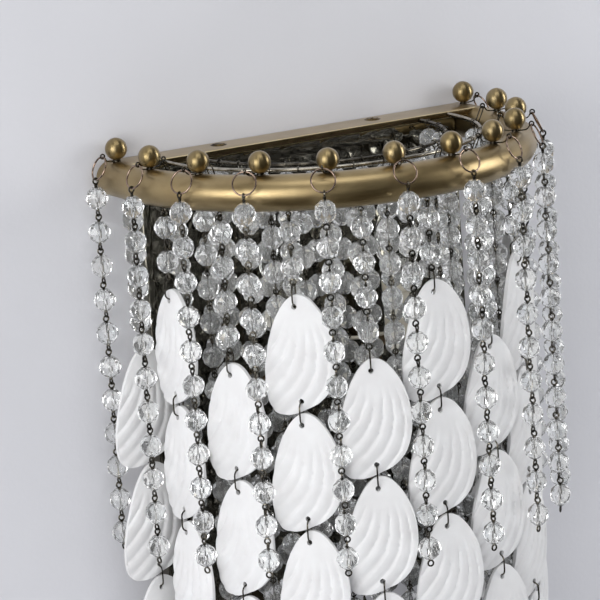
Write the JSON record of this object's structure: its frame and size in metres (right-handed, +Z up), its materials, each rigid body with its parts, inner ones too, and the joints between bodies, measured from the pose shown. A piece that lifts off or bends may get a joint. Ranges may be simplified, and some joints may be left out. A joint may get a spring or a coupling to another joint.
{
  "type": "wall sconce",
  "caption": "Half-round wall sconce: a brass tube rim with ball finials carries hanging strands of faceted beads and columns of ribbed porcelain shells in front of a mirror-polished back box.",
  "frame": {"origin": "on the wall, midway between the two wall bolts of the bracket", "axes": "+X right along the wall, +Y into the wall, +Z up"},
  "size_m": [0.3467, 0.2073, 0.4876],
  "materials": {
    "aged_brass": "satin, aged",
    "plated_steel": "zinc plated",
    "dark_wire": "dark, oxidised",
    "hoop_wire": "drawn",
    "dark_screw": "blackened",
    "polished_steel": "mirror polished",
    "crystal": "clear, faceted, polished",
    "porcelain": "unglazed bisque, matte",
    "grommet_rubber": "moulded",
    "lead_sleeve": "extruded",
    "arm_steel": "bronze lacquer",
    "holder_plastic": "moulded",
    "block_plastic": "moulded",
    "cap_brass": "rolled",
    "bulb_glass": "clear, blown"
  },
  "bodies": {
    "fixture": {"rim_tube": "aged_brass", "finial_balls": "aged_brass", "finial_studs": "plated_steel", "hook_wires": "dark_wire", "column_eyes": "dark_wire", "inner_links": "dark_wire", "inner_strands": "crystal", "inner_hoops": "hoop_wire", "hoop_strands": "crystal", "wall_bar": "aged_brass", "bar_screws": "dark_screw", "bar_washers": "plated_steel", "box_nuts": "plated_steel", "back_box": "polished_steel", "cable_grommet": "grommet_rubber", "wall_bracket": "plated_steel", "box_studs": "plated_steel", "dome_nuts": "aged_brass", "lamp_arms": "arm_steel", "arm_screws": "plated_steel", "lamp_holders": "holder_plastic", "bulb_caps": "cap_brass", "bulbs": "bulb_glass", "terminal_block": "block_plastic", "lamp_leads": "lead_sleeve", "earth_screw": "plated_steel"},
    "strand_01": {"strand_01": "crystal"},
    "strand_02": {"strand_02": "crystal"},
    "strand_03": {"strand_03": "crystal"},
    "strand_04": {"strand_04": "crystal"},
    "strand_05": {"strand_05": "crystal"},
    "strand_06": {"strand_06": "crystal"},
    "strand_07": {"strand_07": "crystal"},
    "strand_08": {"strand_08": "crystal"},
    "strand_09": {"strand_09": "crystal"},
    "strand_10": {"strand_10": "crystal"},
    "strand_11": {"strand_11": "crystal"},
    "strand_12": {"strand_12": "crystal"},
    "column_01": {"column_01_lead": "crystal", "column_01_shells": "porcelain"},
    "column_02": {"column_02_lead": "crystal", "column_02_shells": "porcelain"},
    "column_03": {"column_03_lead": "crystal", "column_03_shells": "porcelain"},
    "column_04": {"column_04_lead": "crystal", "column_04_shells": "porcelain"},
    "column_05": {"column_05_lead": "crystal", "column_05_shells": "porcelain"},
    "column_06": {"column_06_lead": "crystal", "column_06_shells": "porcelain"},
    "column_07": {"column_07_lead": "crystal", "column_07_shells": "porcelain"},
    "column_08": {"column_08_lead": "crystal", "column_08_shells": "porcelain"},
    "column_09": {"column_09_lead": "crystal", "column_09_shells": "porcelain"},
    "column_10": {"column_10_lead": "crystal", "column_10_shells": "porcelain"},
    "column_11": {"column_11_lead": "crystal", "column_11_shells": "porcelain"}
  },
  "joints": [
    {"name": "strand_01_swing", "type": "hinge", "parent": "fixture", "child": "strand_01", "pos_m": [-0.1583, -0.01042, 0.0298], "axis": [0, 1, 0], "range_deg": [0, 25]},
    {"name": "strand_02_swing", "type": "hinge", "parent": "fixture", "child": "strand_02", "pos_m": [-0.15659, -0.05939, 0.0298], "axis": [-0.1338, 0.991, 0], "range_deg": [0, 25]},
    {"name": "strand_03_swing", "type": "hinge", "parent": "fixture", "child": "strand_03", "pos_m": [-0.14406, -0.10184, 0.0298], "axis": [-0.4381, 0.8989, 0], "range_deg": [0, 25]},
    {"name": "strand_04_swing", "type": "hinge", "parent": "fixture", "child": "strand_04", "pos_m": [-0.11854, -0.14128, 0.0298], "axis": [-0.6981, 0.716, 0], "range_deg": [0, 25]},
    {"name": "strand_05_swing", "type": "hinge", "parent": "fixture", "child": "strand_05", "pos_m": [-0.07723, -0.17437, 0.0298], "axis": [-0.8875, 0.4608, 0], "range_deg": [0, 25]},
    {"name": "strand_06_swing", "type": "hinge", "parent": "fixture", "child": "strand_06", "pos_m": [-0.02434, -0.19252, 0.0298], "axis": [-0.9873, 0.1589, 0], "range_deg": [0, 25]},
    {"name": "strand_07_swing", "type": "hinge", "parent": "fixture", "child": "strand_07", "pos_m": [0.02737, -0.19203, 0.0298], "axis": [-0.9873, -0.1589, 0], "range_deg": [0, 25]},
    {"name": "strand_08_swing", "type": "hinge", "parent": "fixture", "child": "strand_08", "pos_m": [0.07461, -0.17573, 0.0298], "axis": [-0.8875, -0.4608, 0], "range_deg": [0, 25]},
    {"name": "strand_09_swing", "type": "hinge", "parent": "fixture", "child": "strand_09", "pos_m": [0.11376, -0.14618, 0.0298], "axis": [-0.6981, -0.716, 0], "range_deg": [0, 25]},
    {"name": "strand_10_swing", "type": "hinge", "parent": "fixture", "child": "strand_10", "pos_m": [0.1423, -0.10545, 0.0298], "axis": [-0.4381, -0.8989, 0], "range_deg": [0, 25]},
    {"name": "strand_11_swing", "type": "hinge", "parent": "fixture", "child": "strand_11", "pos_m": [0.157, -0.05635, 0.0298], "axis": [-0.1338, -0.991, 0], "range_deg": [0, 25]},
    {"name": "strand_12_swing", "type": "hinge", "parent": "fixture", "child": "strand_12", "pos_m": [0.1583, -0.00971, 0.0298], "axis": [0, -1, 0], "range_deg": [0, 25]},
    {"name": "column_01_swing", "type": "hinge", "parent": "fixture", "child": "column_01", "pos_m": [-0.1465, -0.02645, -0.004], "axis": [-0.9994, -0.0349, 0], "range_deg": [-0.3, 0.6]},
    {"name": "column_02_swing", "type": "hinge", "parent": "fixture", "child": "column_02", "pos_m": [-0.14313, -0.06736, -0.004], "axis": [-0.0579, 0.9983, 0], "range_deg": [-0.4, 0.4]},
    {"name": "column_03_swing", "type": "hinge", "parent": "fixture", "child": "column_03", "pos_m": [-0.12459, -0.11317, -0.004], "axis": [-0.3704, 0.9289, 0], "range_deg": [-0.4, 0.4]},
    {"name": "column_04_swing", "type": "hinge", "parent": "fixture", "child": "column_04", "pos_m": [-0.09188, -0.15021, -0.004], "axis": [-0.6582, 0.7529, 0], "range_deg": [-0.4, 0.4]},
    {"name": "column_05_swing", "type": "hinge", "parent": "fixture", "child": "column_05", "pos_m": [-0.04871, -0.17427, -0.004], "axis": [-0.871, 0.4912, 0], "range_deg": [-0.4, 0.4]},
    {"name": "column_06_swing", "type": "hinge", "parent": "fixture", "child": "column_06", "pos_m": [0, -0.1826, -0.004], "axis": [-0.9877, 0.1564, 0], "range_deg": [-0.4, 0.4]},
    {"name": "column_07_swing", "type": "hinge", "parent": "fixture", "child": "column_07", "pos_m": [0.04871, -0.17427, -0.004], "axis": [-0.9892, -0.1464, 0], "range_deg": [-0.4, 0.4]},
    {"name": "column_08_swing", "type": "hinge", "parent": "fixture", "child": "column_08", "pos_m": [0.09188, -0.15021, -0.004], "axis": [-0.876, -0.4824, 0], "range_deg": [-0.4, 0.4]},
    {"name": "column_09_swing", "type": "hinge", "parent": "fixture", "child": "column_09", "pos_m": [0.12459, -0.11317, -0.004], "axis": [-0.6526, -0.7577, 0], "range_deg": [-0.4, 0.4]},
    {"name": "column_10_swing", "type": "hinge", "parent": "fixture", "child": "column_10", "pos_m": [0.14313, -0.06736, -0.004], "axis": [-0.3798, -0.9251, 0], "range_deg": [-0.4, 0.4]},
    {"name": "column_11_swing", "type": "hinge", "parent": "fixture", "child": "column_11", "pos_m": [0.1465, -0.02645, -0.004], "axis": [-0.9994, 0.0349, 0], "range_deg": [-0.3, 0.6]}
  ]
}
